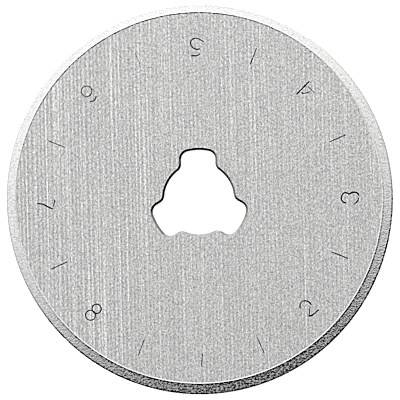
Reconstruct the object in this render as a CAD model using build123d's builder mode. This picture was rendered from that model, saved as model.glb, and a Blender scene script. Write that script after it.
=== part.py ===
from build123d import *

import os

# Rotary cutter blade, the round replaceable blade of a hand-held fabric and paper cutter.
# It is one piece of thin carbon tool steel: a flat disc whose rim is ground from both faces
# to a knife edge in the middle of its thickness, with a three-lobed hub hole punched through
# the centre. The three arcs of the bore centre the blade on the cutter's round boss, and the
# three lobes clear the keys that turn with it.
#
# Frame: millimetres, +Z up, the blade lying on its lower face at Z = 0 with the hub hole on
# the Z axis and one lobe pointing along +Y.

# Disc
blade_diameter = 45.0
blade_thickness = 0.30

# Edge, ground alike from both faces
bevel_width = 1.10
hone_width = 0.16
hone_thickness = 0.08

# Hub hole
boss_diameter = 8.0
boss_clearance = 0.15
lobe_count = 3
lobe_width = 4.0
lobe_tip_diameter = 11.3
lobe_corner_radius = 0.95
lobe_neck_radius = 1.00
first_lobe_angle = 90.0

# A corner and a neck share each side of a lobe, so neither takes more than this much of its reach
blend_share = 0.65

# Rim of the hub hole, drawn down by the punch
roll_width = 0.24
roll_depth = 0.07

# Derived places
blade_radius = blade_diameter / 2
mid_height = blade_thickness / 2
face_radius = blade_radius - bevel_width
hone_radius = blade_radius - hone_width
bore_radius = (boss_diameter + boss_clearance) / 2
lobe_tip_radius = lobe_tip_diameter / 2
largest_blend = (lobe_tip_radius - bore_radius) * blend_share

# Outline of the hub hole: the lobes are cut to their tip circle and joined by the bore
with BuildSketch(Plane.XY) as hub_hole:
    with PolarLocations(0, lobe_count, start_angle=first_lobe_angle):
        Rectangle(lobe_tip_diameter, lobe_width, align=(Align.MIN, Align.CENTER))
    Circle(lobe_tip_radius, mode=Mode.INTERSECT)
    Circle(bore_radius)
    tips = hub_hole.vertices().group_by(SortBy.DISTANCE)[-1]
    fillet(tips, min(lobe_corner_radius, largest_blend))
    necks = hub_hole.vertices().group_by(SortBy.DISTANCE)[0]
    fillet(necks, min(lobe_neck_radius, largest_blend))

with BuildPart() as blade:
    # Half section: the lower face, the two grinds up to the edge, the same back to the top
    with BuildSketch(Plane.XZ):
        with BuildLine():
            Polyline(
                (0, 0),
                (face_radius, 0),
                (hone_radius, mid_height - hone_thickness / 2),
                (blade_radius, mid_height),
                (hone_radius, mid_height + hone_thickness / 2),
                (face_radius, blade_thickness),
                (0, blade_thickness),
                close=True,
            )
        make_face()
    revolve(axis=Axis.Z)

    # Hub hole, punched from the marked face, which leaves that face sloping down to its rim
    add(hub_hole.sketch)
    extrude(amount=blade_thickness, mode=Mode.SUBTRACT)
    marked_face = blade.faces().sort_by(Axis.Z)[-1]
    rim = marked_face.inner_wires()[0].edges()
    chamfer(rim, roll_width, roll_depth, reference=marked_face)

blade.part.label = "blade"

os.makedirs("parts", exist_ok=True)
export_step(blade.part, "parts/blade.step")
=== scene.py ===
import math

import bmesh
import bpy
from mathutils import Matrix, Quaternion, Vector


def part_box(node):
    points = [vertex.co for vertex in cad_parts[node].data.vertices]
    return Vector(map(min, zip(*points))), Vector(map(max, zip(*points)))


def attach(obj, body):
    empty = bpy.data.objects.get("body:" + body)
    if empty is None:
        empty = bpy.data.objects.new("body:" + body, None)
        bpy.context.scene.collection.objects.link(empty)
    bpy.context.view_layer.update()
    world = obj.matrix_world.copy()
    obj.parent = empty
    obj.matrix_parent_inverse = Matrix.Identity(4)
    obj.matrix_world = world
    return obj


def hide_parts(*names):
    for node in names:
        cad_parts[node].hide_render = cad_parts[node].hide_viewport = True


# Rotary cutter blade: one thin disc of hardened carbon tool steel, brushed on both faces,
# ground at the rim to a knife edge and punched with a three-lobed hub hole. The upper face
# carries a dial of struck numbers and ticks. The blade lies flat on a pale table.

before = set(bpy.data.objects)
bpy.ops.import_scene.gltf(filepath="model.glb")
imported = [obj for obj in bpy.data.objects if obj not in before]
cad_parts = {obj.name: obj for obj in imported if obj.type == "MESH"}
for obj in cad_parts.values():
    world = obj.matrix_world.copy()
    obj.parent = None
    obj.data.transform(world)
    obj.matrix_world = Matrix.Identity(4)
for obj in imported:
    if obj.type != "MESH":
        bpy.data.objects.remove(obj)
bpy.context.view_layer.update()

MM = 0.001

# The blade, in millimetres and degrees
low_corner, high_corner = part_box("blade")
blade_radius = max(high_corner.x, high_corner.y, -low_corner.x, -low_corner.y) / MM
blade_thickness = (high_corner.z - low_corner.z) / MM
bevel_width = 1.10
hone_width = 0.16
hone_thickness = 0.08
bore_radius = 4.075
lobe_count = 3
first_lobe_angle = 90.0
lobe_half_width = 2.0
lobe_tip_radius = 5.65
lobe_corner_radius = 0.95
lobe_neck_radius = 1.00
segments_round = 960
rings_on_face = (8.0, 12.0, 15.8, 20.2)

# The rim of the hub hole, drawn down by the punch in a curve: the drop grows towards the hole as
# a power of the way there
roll_width = 0.24
roll_depth = 0.07
roll_power = 1.2
segments_in_roll = 6

# The burr that the grinding wheel leaves round both faces. Its crest is as high as the blade is
# thick, and the faces lie the burr's height below it. Outside the crest its flank drops more
# steeply than the bevel that follows.
burr_height = 0.015
burr_width = 0.12
burr_flank = 0.18
burr_drop = 0.030

# Where the middle of the grind lies, because this blade is ground a little off centre
grind_middle = Vector((-0.05, 0.12))

# The dial: numbers and ticks take turns round the face, in millimetres and degrees
dial_radius = 18.01
first_number_angle = -90.0
first_tick_angle = -67.5
dial_step = 45.0
loop_points = 12

# The strokes that it is struck in, in millimetres. Each is pressed unevenly, so that it narrows
# by up to a share of its width in places about a waver's length apart.
stroke_width = 0.17
stroke_depth = 0.045
stroke_step = 0.06
unevenness = 0.35
waver_length = 0.5
punch_sides = 12
punch_rings = 8

# Strokes of each number from its middle, its top towards the hub, and how hard each is struck.
# A loop is a circle, with its middle and its radius.
LOOP = "loop"
NUMBERS = [
    [(0.72, [(0.00, 0.15), (-0.08, -0.50), (-0.15, -1.15)])],
    [
        (1.00, [(-0.95, 0.85), (-0.72, 1.08), (-0.32, 1.20), (0.08, 0.97), (0.24, 0.60), (0.22, 0.20)]),
        (0.74, [(-0.10, 0.10), (-0.45, -0.20), (-0.80, -0.48)]),
        (1.12, [(-0.90, -0.55), (-0.50, -0.76), (0.35, -0.84)]),
    ],
    [
        (1.15, [(-0.85, 1.00), (-0.72, 1.28), (-0.40, 1.48), (-0.05, 1.42), (0.28, 1.15), (0.30, 0.85),
                (0.16, 0.55), (0.33, 0.20), (0.34, -0.15), (0.22, -0.42), (0.00, -0.57)]),
        (0.92, [(-0.33, -0.54), (-0.62, -0.44), (-0.85, -0.22), (-1.02, 0.00)]),
    ],
    [
        (1.08, [(0.09, 1.40), (0.07, 0.40), (0.05, -0.57)]),
        (0.95, [(-0.26, 0.92), (-0.52, 0.72), (-0.78, 0.26)]),
        (0.60, [(-1.25, -0.13), (-0.75, -0.09), (-0.26, -0.08)]),
    ],
    [
        (0.94, [(0.45, 1.51), (-0.18, 1.51), (-0.46, 1.30)]),
        (0.93, [(-0.50, 0.75), (-0.02, 0.75), (0.36, 0.50), (0.56, 0.10), (0.45, -0.26), (0.05, -0.50),
                (-0.42, -0.42), (-0.92, -0.10)]),
    ],
    [
        (0.72, [LOOP, 0.06, -0.04, 0.62]),
        (0.88, [(-0.24, 1.20), (0.16, 1.35), (0.64, 1.10)]),
        (0.38, [(-0.58, 0.75), (-0.62, 0.50), (-0.58, 0.25)]),
    ],
    [
        (0.78, [(-0.25, 1.18), (0.10, 1.11), (0.42, 1.02)]),
        (1.12, [(0.72, 0.86), (0.66, 0.66), (0.41, 0.20), (0.20, -0.20), (0.10, -0.84)]),
    ],
    [
        (0.98, [LOOP, 0.12, 0.60, 0.54]),
        (0.92, [LOOP, 0.11, -0.44, 0.58]),
    ],
]

# Each tick's inner and outer radius, its place to the side, and how hard it is struck
TICKS = [
    (17.31, 19.30, -0.24, 0.68),
    (16.61, 18.60, -0.12, 0.82),
    (16.57, 18.55, -0.15, 0.85),
    (16.65, 18.55, 0.00, 0.82),
    (17.05, 18.35, 0.00, 0.47),
    (16.76, 18.70, 0.10, 0.70),
    (17.01, 18.95, 0.44, 0.80),
    (17.42, 19.40, -0.09, 0.67),
]

# The blade's finishes, in the order of its material slots, and the bend in degrees below which
# each is shaded smoothly. Any two slopes of the ground rim meet at a wider bend than that.
BRUSHED, GROUND, PUNCHED, STRUCK = range(4)
smooth_bends = {BRUSHED: 0, GROUND: 2, PUNCHED: 30, STRUCK: 180}

# The finishes as sRGB colours, and as the shader's roughness
brushed_colour = "#B2B2B1"
ground_colour = "#BEBEBD"
scale_colour = "#828280"
burnt_colour = "#262626"
table_colour = "#F4F4F4"
brushed_roughness = 0.34
ground_roughness = 0.175
scale_roughness = 0.25
burnt_roughness = 0.6
table_roughness = 0.9
table_specular = 0.1
table_glow = 0.45

# The marks of the brush, in millimetres across, along and up, and how far they change the colour.
# Lines and scratches weaken to a share of their strength from one place across to another.
dash_size = (0.13, 0.19, 1.0)
dash_tones = (0.53, 1.47)
dash_depth = 0.002
dash_bump = 0.5
line_step = 0.46
line_stretch = 40
line_waver = 4.0
line_tones = (-0.14, 0.14)
break_size = (1.0, 0.30, 1.0)
break_span = (0.0, 2.0)
scratch_size = (0.11, 25.0, 1.0)
scratch_span = (0.0, 0.9)
scratch_rarity = 7.0
strong_until = -16.0
weak_from = -2.0
weak_share = 0.52

# The marks of the grinding wheel, and the mottle of the hardening scale
chip_size = (0.18, 0.18, 0.18)
chip_depth = 0.006
dull_spot_size = (0.25, 0.25, 0.25)
dull_spot_spread = 0.375
facet_size = (0.16, 0.16, 0.16)
facet_tones = (0.92, 1.08)
mottle_size = (0.30, 0.30, 0.30)
mottle_tones = (0.75, 1.15)

# How far the burnt colour lightens from the bottom of a struck mark to the face. The darkening towards the
# bottom is painted shade of the groove's depth.
burn_and_depth_shade_tones = (0.7, 7.0)

# The studio's one light, in degrees round the blade. What it sheds along a direction depends on the
# direction's lean towards it, from -1 to 1, and fades between two distances aside of its middle.
light_angle = 105.0
light_middle = 0.14
light_fade = (0.28, 0.60)
light_strengths = (2.0, 1.3)
LIGHT_LEVELS = [
    (-1.0, 0.45), (-0.76, 0.30), (-0.64, 0.03), (-0.45, 0.01), (-0.15, 0.01), (-0.14, 0.02),
    (-0.128, 0.06), (-0.115, 0.20), (-0.092, 0.48), (-0.055, 0.59), (0.0, 0.645), (0.095, 0.81),
    (0.18, 0.87), (0.34, 0.91), (0.45, 1.70), (0.60, 1.70), (0.75, 0.80), (1.0, 0.60),
]

# The table's half width, in metres
table_reach = 4.0

# The view, in millimetres, degrees and pixels of the photo's frame. The camera sees from this many
# times nearer than the blade to as many times farther.
frame_pixels = 400
pixels_per_mm = 8.68
blade_middle_pixel = (199.3, 198.9)
lens_mm = 800.0
camera_tilt = 8.5
blade_turn = 1.35
clip_times = 10

# The sharpening: its strength, the width of its halo in pixels and the screen's gamma
sharpening = 1.0
halo_pixels = 3.0
screen_gamma = 2.2


def linear(colour):
    """The linear values of an sRGB hex colour."""
    parts = [int(colour[i:i + 2], 16) / 255 for i in (1, 3, 5)]
    return [p / 12.92 if p <= 0.04045 else ((p + 0.055) / 1.055) ** 2.4 for p in parts] + [1.0]


def add(tree, kind, inputs=None, **settings):
    """Adds a node with its settings. Each input is a value, or the output that it is linked from."""
    node = tree.nodes.new(kind)
    for name, value in settings.items():
        setattr(node, name, value)
    for name, value in (inputs or {}).items():
        if isinstance(value, bpy.types.NodeSocket):
            tree.links.new(value, node.inputs[name])
        else:
            node.inputs[name].default_value = value
    return node


# Blade blank


def hub_radius(angle):
    """The hub hole's radius at an angle, in degrees from the middle of the first lobe."""
    step = 360 / lobe_count
    turn = math.radians(abs((angle + step / 2) % step - step / 2))
    along = Vector((math.cos(turn), math.sin(turn)))
    corner_side = lobe_half_width - lobe_corner_radius
    corner = Vector((math.sqrt((lobe_tip_radius - lobe_corner_radius) ** 2 - corner_side**2), corner_side))
    neck_side = lobe_half_width + lobe_neck_radius
    neck = Vector((math.sqrt((bore_radius + lobe_neck_radius) ** 2 - neck_side**2), neck_side))

    # Out from the middle of a lobe: its tip, its rounded corner, its straight side, its neck, the bore
    if turn < math.atan2(corner.y, corner.x):
        return lobe_tip_radius
    if turn < math.atan2(lobe_half_width, corner.x):
        off = corner.cross(along)
        return corner.dot(along) + math.sqrt(lobe_corner_radius**2 - off**2)
    if turn < math.atan2(lobe_half_width, neck.x):
        return lobe_half_width / math.sin(turn)
    if turn < math.atan2(neck.y, neck.x):
        off = neck.cross(along)
        return neck.dot(along) - math.sqrt(lobe_neck_radius**2 - off**2)
    return bore_radius


def blade_blank(materials):
    """The disc with its ground rim and punched hub hole, as closed rings of points."""
    turns = [2 * math.pi * i / segments_round for i in range(segments_round)]
    spokes = [Vector((math.cos(t), math.sin(t))) for t in turns]
    hole = [s * hub_radius(math.degrees(t) - first_lobe_angle) for s, t in zip(spokes, turns)]
    away = []
    for i in range(segments_round):
        chord = hole[(i + 1) % segments_round] - hole[i - 1]
        away.append(Vector((chord.y, -chord.x)).normalized())

    def round_ring(radius, middle, height):
        return [(s.x * radius + middle.x, s.y * radius + middle.y, height) for s in spokes]

    def hub_ring(distance, height):
        return [(h.x + a.x * distance, h.y + a.y * distance, height) for h, a in zip(hole, away)]

    top = blade_thickness
    half_height = top / 2
    hub_middle = Vector((0.0, 0.0))
    burr_radius = blade_radius - bevel_width
    hone_radius = blade_radius - hone_width

    # From the hub out over the upper face and its burr to the edge: each ring's radius, middle and
    # depth, and the finish of the strip that follows it
    half = [
        *[(radius, hub_middle, burr_height, BRUSHED) for radius in rings_on_face],
        (burr_radius - burr_width, grind_middle, burr_height, GROUND),
        (burr_radius, grind_middle, 0.0, GROUND),
        (burr_radius + burr_flank, grind_middle, burr_drop, GROUND),
        (hone_radius, hub_middle, half_height - hone_thickness / 2, GROUND),
    ]
    rings = [(hub_ring(roll_width, top - burr_height), BRUSHED)]
    rings += [(round_ring(radius, middle, top - depth), finish) for radius, middle, depth, finish in half]
    rings += [(round_ring(blade_radius, hub_middle, half_height), GROUND)]

    # The same back underneath, where the strip that follows a ring is the one before it on the way out
    strips_before = [BRUSHED, *[finish for *_, finish in half[:-1]]]
    rings += [
        (round_ring(radius, middle, depth), finish)
        for (radius, middle, depth, _), finish in zip(reversed(half), reversed(strips_before))
    ]

    # Up the wall of the hole and over its rolled rim
    rings += [(hub_ring(0.0, burr_height), PUNCHED)]
    for i in range(segments_in_roll):
        share = i / segments_in_roll
        drop = roll_depth * (1 - share) ** roll_power
        rings.append((hub_ring(roll_width * share, top - burr_height - drop), PUNCHED))

    points = [Vector(p) * MM for ring, _ in rings for p in ring]
    faces, finishes = [], []
    for row, (_, finish) in enumerate(rings):
        here = row * segments_round
        following = (row + 1) % len(rings) * segments_round
        for i in range(segments_round):
            j = (i + 1) % segments_round
            faces.append((here + i, following + i, following + j, here + j))
            finishes.append(finish)
    mesh = bpy.data.meshes.new("blade_blank")
    mesh.from_pydata(points, [], faces)
    for material in materials:
        mesh.materials.append(material)
    mesh.polygons.foreach_set("material_index", finishes)
    return mesh


# Struck marks


def dial_strokes():
    """All the strokes of the dial, as curves in the plane of the upper face."""
    curve = bpy.data.curves.new("dial_strokes", "CURVE")
    curve.dimensions = "3D"

    def stroke(angle, radius, press, places):
        turn = math.radians(angle)
        out = Vector((math.cos(turn), math.sin(turn), 0))
        across = Vector((-out.y, out.x, 0))
        spline = curve.splines.new("POLY")
        spline.points.add(len(places) - 1)
        for point, (side, up) in zip(spline.points, places):
            point.co = [*((out * (radius - up) + across * side) * MM), 1]
            point.radius = press

    for i, (number, (inner, outer, side, press)) in enumerate(zip(NUMBERS, TICKS)):
        for number_press, places in number:
            if places[0] == LOOP:
                _, x, y, radius = places
                turns = [2 * math.pi * k / loop_points for k in range(loop_points + 1)]
                places = [(x + radius * math.sin(t), y + radius * math.cos(t)) for t in turns]
            stroke(first_number_angle + i * dial_step, dial_radius, number_press, places)
        half = (outer - inner) / 2
        tick = [(side, half), (side, 0), (side, -half)]
        stroke(first_tick_angle + i * dial_step, (inner + outer) / 2, press, tick)
    strokes = bpy.data.objects.new("dial_strokes", curve)
    bpy.context.collection.objects.link(strokes)
    return strokes


def punch_tree():
    """Geometry Nodes that sweep a round-nosed punch along each stroke."""
    tree = bpy.data.node_groups.new("punched_strokes", "GeometryNodeTree")
    sockets = [
        ("Geometry", "NodeSocketGeometry"),
        ("Stroke Width", "NodeSocketFloat"),
        ("Stroke Depth", "NodeSocketFloat"),
        ("Face Height", "NodeSocketFloat"),
        ("Unevenness", "NodeSocketFloat"),
        ("Waver Length", "NodeSocketFloat"),
        ("Step", "NodeSocketFloat"),
        ("Finish", "NodeSocketMaterial"),
    ]
    for name, kind in sockets:
        tree.interface.new_socket(name, in_out="INPUT", socket_type=kind)
    tree.interface.new_socket("Geometry", in_out="OUTPUT", socket_type="NodeSocketGeometry")
    given = add(tree, "NodeGroupInput").outputs

    # Smooth strokes through the points, pressed a little unevenly along their length, by a noise
    # that seldom leaves the range from 0.3 to 0.7
    smooth = add(tree, "GeometryNodeCurveSplineType", {"Curve": given["Geometry"]},
                 spline_type="CATMULL_ROM")
    fine = add(tree, "GeometryNodeResampleCurve", {"Curve": smooth.outputs[0], "Length": given["Step"]},
               mode="LENGTH")
    wavers = add(tree, "ShaderNodeMath", {0: 1.0, 1: given["Waver Length"]}, operation="DIVIDE")
    waver = add(tree, "ShaderNodeTexNoise", {"Scale": wavers.outputs[0], "Detail": 1.0})
    lightest = add(tree, "ShaderNodeMath", {0: 1.0, 1: given["Unevenness"]}, operation="SUBTRACT")
    press = add(tree, "ShaderNodeMapRange", {
        "Value": waver.outputs[0],
        "From Min": 0.3,
        "From Max": 0.7,
        "To Min": lightest.outputs[0],
        "To Max": 1.0,
    })
    radius = add(tree, "GeometryNodeInputRadius")
    pressed = add(tree, "ShaderNodeMath", {0: radius.outputs[0], 1: press.outputs[0]},
                  operation="MULTIPLY")
    half_width = add(tree, "ShaderNodeMath", {0: given["Stroke Width"], 1: 0.5}, operation="MULTIPLY")
    reach = add(tree, "ShaderNodeMath", {0: pressed.outputs[0], 1: half_width.outputs[0]},
                operation="MULTIPLY")

    # The punch is round in plan, so a stroke is a tube with a ball at each end. The union
    # merges them, and strokes that meet, into clean solids.
    plan = add(tree, "GeometryNodeCurvePrimitiveCircle", {"Resolution": punch_sides})
    tube = add(tree, "GeometryNodeCurveToMesh", {
        "Curve": fine.outputs[0],
        "Profile Curve": plan.outputs[0],
        "Scale": reach.outputs[0],
        "Fill Caps": True,
    })
    ball = add(tree, "GeometryNodeMeshUVSphere", {"Segments": punch_sides, "Rings": punch_rings})
    balls = add(tree, "GeometryNodeInstanceOnPoints", {
        "Points": fine.outputs[0],
        "Selection": add(tree, "GeometryNodeCurveEndpointSelection").outputs[0],
        "Instance": ball.outputs[0],
        "Scale": reach.outputs[0],
    })
    merged = add(tree, "GeometryNodeMeshBoolean", {"Self Intersection": True}, operation="UNION",
                 solver="EXACT")
    tree.links.new(tube.outputs[0], merged.inputs["Mesh 2"])
    tree.links.new(balls.outputs[0], merged.inputs["Mesh 2"])

    # Flattened to the depth of the marks and set into the face
    flat = add(tree, "ShaderNodeMath", {0: given["Stroke Depth"], 1: half_width.outputs[0]},
               operation="DIVIDE")
    shape = add(tree, "ShaderNodeCombineXYZ", {"X": 1.0, "Y": 1.0, "Z": flat.outputs[0]})
    place = add(tree, "ShaderNodeCombineXYZ", {"Z": given["Face Height"]})
    sunk = add(tree, "GeometryNodeTransform", {
        "Geometry": merged.outputs[0],
        "Translation": place.outputs[0],
        "Scale": shape.outputs[0],
    })
    solid = add(tree, "GeometryNodeRealizeInstances", {"Geometry": sunk.outputs[0]})
    finished = add(tree, "GeometryNodeSetMaterial", {
        "Geometry": solid.outputs[0],
        "Material": given["Finish"],
    })
    add(tree, "NodeGroupOutput", {"Geometry": finished.outputs[0]})
    return tree


def plain_mesh(thing):
    """The mesh that a thing's modifiers make of it. The modifiers are then removed."""
    evaluated = thing.evaluated_get(bpy.context.evaluated_depsgraph_get())
    mesh = bpy.data.meshes.new_from_object(evaluated)
    thing.modifiers.clear()
    return mesh


def struck(blank, mark_finish):
    """The blank with the dial struck into its upper face, as a plain mesh object."""
    strokes = dial_strokes()
    tree = punch_tree()
    sweep = strokes.modifiers.new("punches", "NODES")
    sweep.node_group = tree
    values = {
        "Stroke Width": stroke_width * MM,
        "Stroke Depth": stroke_depth * MM,
        "Face Height": (blade_thickness - burr_height) * MM,
        "Unevenness": unevenness,
        "Waver Length": waver_length * MM,
        "Step": stroke_step * MM,
        "Finish": mark_finish,
    }
    for item in tree.interface.items_tree:
        if item.name in values:
            sweep[item.identifier] = values[item.name]
    punches = bpy.data.objects.new("punches", plain_mesh(strokes))
    bpy.context.collection.objects.link(punches)

    blade = bpy.data.objects.new("struck_blade", blank)
    bpy.context.collection.objects.link(blade)
    cut = blade.modifiers.new("marks", "BOOLEAN")
    cut.object = punches
    cut.operation = "DIFFERENCE"
    cut.solver = "MANIFOLD"
    cut.material_mode = "TRANSFER"
    blade.data = plain_mesh(blade)
    bpy.data.objects.remove(strokes)
    bpy.data.objects.remove(punches)
    return blade


def crisp_edges(blade):
    """Smooth shading, with crisp lines where two finishes meet and where one slope of the rim or
    of the hole gives way to the next. The flat faces stay flat shaded."""
    mesh = bmesh.new()
    mesh.from_mesh(blade.data)
    for face in mesh.faces:
        face.smooth = face.material_index != BRUSHED
    for edge in mesh.edges:
        if len(edge.link_faces) == 2:
            one, other = edge.link_faces
            same = one.material_index == other.material_index
            edge.smooth = same and edge.calc_face_angle() < math.radians(smooth_bends[one.material_index])
    mesh.to_mesh(blade.data)
    mesh.free()


# Finishes


def steel(name, colour, roughness):
    """A bare steel surface, with its node tree, its shader and its places in metres."""
    material = bpy.data.materials.new(name)
    material.use_nodes = True
    tree = material.node_tree
    tree.nodes.clear()
    shader = add(tree, "ShaderNodeBsdfPrincipled", {
        "Base Color": linear(colour),
        "Metallic": 1.0,
        "Roughness": roughness,
    })
    add(tree, "ShaderNodeOutputMaterial", {"Surface": shader.outputs[0]})
    place = add(tree, "ShaderNodeTexCoord").outputs["Object"]
    return material, tree, shader, place


def marks_along(tree, place, size, span, detail=2.0):
    """Noise whose marks have a size in millimetres, as a value between the two ends of a span. The
    span is laid over the middle half of the noise, which holds nearly all of it."""
    stretched = add(tree, "ShaderNodeVectorMath", {0: place, 1: [1 / (s * MM) for s in size]},
                    operation="MULTIPLY")
    noise = add(tree, "ShaderNodeTexNoise", {"Vector": stretched.outputs[0], "Scale": 1.0, "Detail": detail})
    return add(tree, "ShaderNodeMapRange", {
        "Value": noise.outputs[0],
        "From Min": 0.25,
        "From Max": 0.75,
        "To Min": span[0],
        "To Max": span[1],
    }).outputs[0]


def shaded(tree, shader, colour, factor):
    """The colour of a steel made lighter and darker by a pattern."""
    scaled = add(tree, "ShaderNodeVectorMath", {0: linear(colour)[:3], "Scale": factor}, operation="SCALE")
    tree.links.new(scaled.outputs[0], shader.inputs["Base Color"])


def brushed_finish():
    """Hardened carbon steel brushed lengthwise by an abrasive belt. To the eye it is an even satin
    grey with a speckle of short dashes, broken lines an even step apart and a few long scratches,
    all along Y. Lines and scratches are stronger towards one side. Every real mark is finer, and
    is drawn as coarse as the view can show."""
    material, tree, shader, place = steel("brushed_carbon_steel", brushed_colour, brushed_roughness)
    dashes = marks_along(tree, place, dash_size, dash_tones)
    bump = add(tree, "ShaderNodeBump", {"Height": dashes, "Distance": dash_depth * MM, "Strength": dash_bump})
    tree.links.new(bump.outputs[0], shader.inputs["Normal"])

    # A wave at scale 1 repeats ten times in pi metres, and is drawn out along Y into lines
    drawn_out = add(tree, "ShaderNodeVectorMath", {0: place, 1: (1, 1 / line_stretch, 1)},
                    operation="MULTIPLY")
    waves = add(tree, "ShaderNodeTexWave", {
        "Vector": drawn_out.outputs[0],
        "Scale": math.pi / 10 / (line_step * MM),
        "Distortion": line_waver,
    })
    lines = add(tree, "ShaderNodeMapRange", {
        "Value": waves.outputs["Fac"],
        "To Min": line_tones[0],
        "To Max": line_tones[1],
    })
    breaks = marks_along(tree, place, break_size, break_span)
    broken = add(tree, "ShaderNodeMath", {0: lines.outputs[0], 1: breaks}, operation="MULTIPLY")

    # A high power leaves only the strongest of the scratches
    scratches = marks_along(tree, place, scratch_size, scratch_span, detail=0.0)
    few = add(tree, "ShaderNodeMath", {0: scratches, 1: scratch_rarity}, operation="POWER")
    marks = add(tree, "ShaderNodeMath", {0: few.outputs[0], 1: broken.outputs[0]}, operation="ADD")

    side = add(tree, "ShaderNodeSeparateXYZ", {"Vector": place}).outputs["X"]
    weakening = add(tree, "ShaderNodeMapRange", {
        "Value": side,
        "From Min": strong_until * MM,
        "From Max": weak_from * MM,
        "To Min": 1.0,
        "To Max": weak_share,
    })
    weakened = add(tree, "ShaderNodeMath", {0: marks.outputs[0], 1: weakening.outputs[0]},
                   operation="MULTIPLY")
    streaks = add(tree, "ShaderNodeMath", {0: weakened.outputs[0], 1: 1.0}, operation="ADD")
    grain = add(tree, "ShaderNodeMath", {0: dashes, 1: streaks.outputs[0]}, operation="MULTIPLY")
    shaded(tree, shader, brushed_colour, grain.outputs[0])
    return material


def ground_finish():
    """The same steel cut back by a coarse grinding wheel, which leaves it brighter and shinier than
    the faces, with small chips in it. They are duller spots and a slight bump, and so they show
    where the bevel mirrors the dark side. The real ones are finer than the view can show."""
    material, tree, shader, place = steel("ground_carbon_steel", ground_colour, ground_roughness)
    dull_span = (ground_roughness - dull_spot_spread, ground_roughness + dull_spot_spread)
    dull = marks_along(tree, place, dull_spot_size, dull_span, detail=1.0)
    tree.links.new(dull, shader.inputs["Roughness"])
    chips = marks_along(tree, place, chip_size, (0.0, 1.0), detail=1.0)
    bump = add(tree, "ShaderNodeBump", {"Height": chips, "Distance": chip_depth * MM, "Strength": 1.0})
    tree.links.new(bump.outputs[0], shader.inputs["Normal"])
    shaded(tree, shader, ground_colour, marks_along(tree, place, facet_size, facet_tones))
    return material


def punched_finish():
    """The wall and rolled rim of the hole, punched before hardening and never brushed, so the
    scale of the hardening is still on it and looks dark grey and a little mottled."""
    material, tree, shader, place = steel("punched_carbon_steel", scale_colour, scale_roughness)
    shaded(tree, shader, scale_colour, marks_along(tree, place, mottle_size, mottle_tones))
    return material


def struck_finish():
    """The burnt grooves of the struck marks, matt, with painted shade that darkens them the deeper they are.
    """
    material, tree, shader, place = steel("struck_carbon_steel", burnt_colour, burnt_roughness)
    face_height = blade_thickness - burr_height
    # Painted shade: the burnt colour darkens towards the bottom of each groove
    burn_and_depth_shade = add(tree, "ShaderNodeMapRange", {
        "Value": add(tree, "ShaderNodeSeparateXYZ", {"Vector": place}).outputs["Z"],
        "From Min": (face_height - stroke_depth) * MM,
        "From Max": face_height * MM,
        "To Min": burn_and_depth_shade_tones[0],
        "To Max": burn_and_depth_shade_tones[1],
    })
    shaded(tree, shader, burnt_colour, burn_and_depth_shade.outputs[0])
    return material


# Studio


def table_top():
    """A pale, plain table of matt laminate. It glows a little, so that no shadow shows on it."""
    corners = [(x * table_reach, y * table_reach, 0) for x, y in ((-1, -1), (1, -1), (1, 1), (-1, 1))]
    mesh = bpy.data.meshes.new("table_top")
    mesh.from_pydata(corners, [], [(0, 1, 2, 3)])
    table = bpy.data.objects.new("table_top", mesh)
    bpy.context.collection.objects.link(table)
    material = bpy.data.materials.new("matt_laminate_table")
    material.use_nodes = True
    shader = material.node_tree.nodes["Principled BSDF"]
    shader.inputs["Base Color"].default_value = linear(table_colour)
    shader.inputs["Roughness"].default_value = table_roughness
    shader.inputs["Specular IOR Level"].default_value = table_specular
    shader.inputs["Emission Color"].default_value = linear(table_colour)
    shader.inputs["Emission Strength"].default_value = table_glow
    table.data.materials.append(material)


def studio_light():
    """One broad soft light overhead on the far side. The near half of the rim mirrors the dark band
    on the near side. Low down the light dims on the far side and comes back on the near side, so
    that a slanting view neither burns out nor goes black."""
    world = bpy.data.worlds.new("soft_studio")
    bpy.context.scene.world = world
    world.use_nodes = True
    tree = world.node_tree
    tree.nodes.clear()
    angle = math.radians(light_angle)
    direction = add(tree, "ShaderNodeTexCoord").outputs["Generated"]

    # How strong the light is at a direction's distance aside of its middle
    sideways = (-math.sin(angle), math.cos(angle), 0)
    aside = add(tree, "ShaderNodeVectorMath", {0: direction, 1: sideways}, operation="DOT_PRODUCT")
    off_middle = add(tree, "ShaderNodeMath", {0: aside.outputs["Value"], 1: light_middle},
                     operation="SUBTRACT")
    distance_aside = add(tree, "ShaderNodeMath", {0: off_middle.outputs[0]}, operation="ABSOLUTE")
    strength = add(tree, "ShaderNodeMapRange", {
        "Value": distance_aside.outputs[0],
        "From Min": light_fade[0],
        "From Max": light_fade[1],
        "To Min": light_strengths[0],
        "To Max": light_strengths[1],
    })

    # Its level along the direction's lean, where a ramp's places run from 0 to 1
    towards = (math.cos(angle), math.sin(angle), 0)
    lean = add(tree, "ShaderNodeVectorMath", {0: direction, 1: towards}, operation="DOT_PRODUCT")
    place = add(tree, "ShaderNodeMapRange", {
        "Value": lean.outputs["Value"],
        "From Min": -1.0,
        "From Max": 1.0,
    })
    ramp = add(tree, "ShaderNodeValToRGB", {"Fac": place.outputs[0]})
    ramp.color_ramp.interpolation = "LINEAR"
    while len(ramp.color_ramp.elements) < len(LIGHT_LEVELS):
        ramp.color_ramp.elements.new(0.5)
    for element, (lean_there, level) in zip(ramp.color_ramp.elements, LIGHT_LEVELS):
        element.position = (lean_there + 1) / 2
        element.color = (level, level, level, 1)
    background = add(tree, "ShaderNodeBackground", {
        "Color": ramp.outputs[0],
        "Strength": strength.outputs[0],
    })
    add(tree, "ShaderNodeOutputWorld", {"Surface": background.outputs[0]})
    bpy.context.scene.view_settings.view_transform = "Standard"


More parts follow.
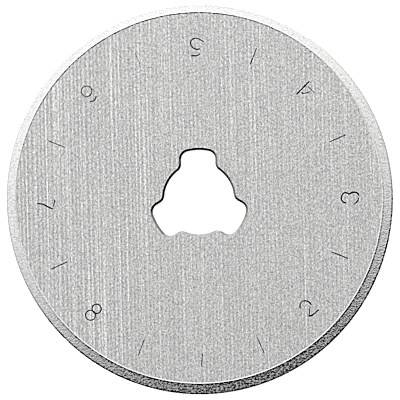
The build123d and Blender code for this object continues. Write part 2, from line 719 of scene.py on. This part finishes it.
def camera():
    """A long lens that looks down on the blade from a little to its right."""
    data = bpy.data.cameras.new("camera")
    data.lens = lens_mm
    view = bpy.data.objects.new("camera", data)
    bpy.context.collection.objects.link(view)
    frame_width = frame_pixels / pixels_per_mm * MM
    distance = frame_width / data.sensor_width * data.lens
    tilt = math.radians(camera_tilt)
    back = Vector((math.sin(tilt), 0, math.cos(tilt)))
    level = Vector((0, 1, 0)).cross(back).normalized()
    turn = Matrix((level, back.cross(level), back)).transposed().to_quaternion()
    turn = turn @ Quaternion((0, 0, 1), -math.radians(blade_turn))
    right, up = turn @ Vector((1, 0, 0)), turn @ Vector((0, 1, 0))
    middle_x, middle_y = blade_middle_pixel
    pixel = MM / pixels_per_mm
    aim = right * (frame_pixels / 2 - middle_x) * pixel - up * (frame_pixels / 2 - middle_y) * pixel
    view.location = aim + back * distance
    view.rotation_mode = "QUATERNION"
    view.rotation_quaternion = turn
    data.clip_start = distance / clip_times
    data.clip_end = distance * clip_times
    bpy.context.scene.camera = view


def sharpened():
    """The photo was sharpened, so the render's tones are as well: what a small blur takes away
    is added once more."""
    scene = bpy.context.scene
    scene.use_nodes = True
    tree = scene.node_tree
    tree.nodes.clear()
    light = add(tree, "CompositorNodeRLayers").outputs["Image"]
    tones = add(tree, "CompositorNodeGamma", {"Image": light, "Gamma": 1 / screen_gamma}).outputs[0]
    soft = add(tree, "CompositorNodeBlur", {"Image": tones, "Size": (halo_pixels, halo_pixels)}).outputs[0]
    lost = add(tree, "CompositorNodeMixRGB", {1: tones, 2: soft}, blend_type="SUBTRACT").outputs[0]
    crisp = add(tree, "CompositorNodeMixRGB", {"Fac": sharpening, 1: tones, 2: lost},
                blend_type="ADD").outputs[0]
    back = add(tree, "CompositorNodeGamma", {"Image": crisp, "Gamma": screen_gamma}).outputs[0]
    add(tree, "CompositorNodeComposite", {"Image": back})


blank = blade_blank([brushed_finish(), ground_finish(), punched_finish()])
blade = struck(blank, struck_finish())
crisp_edges(blade)
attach(blade, "root")
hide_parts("blade")
table_top()
studio_light()
camera()
sharpened()
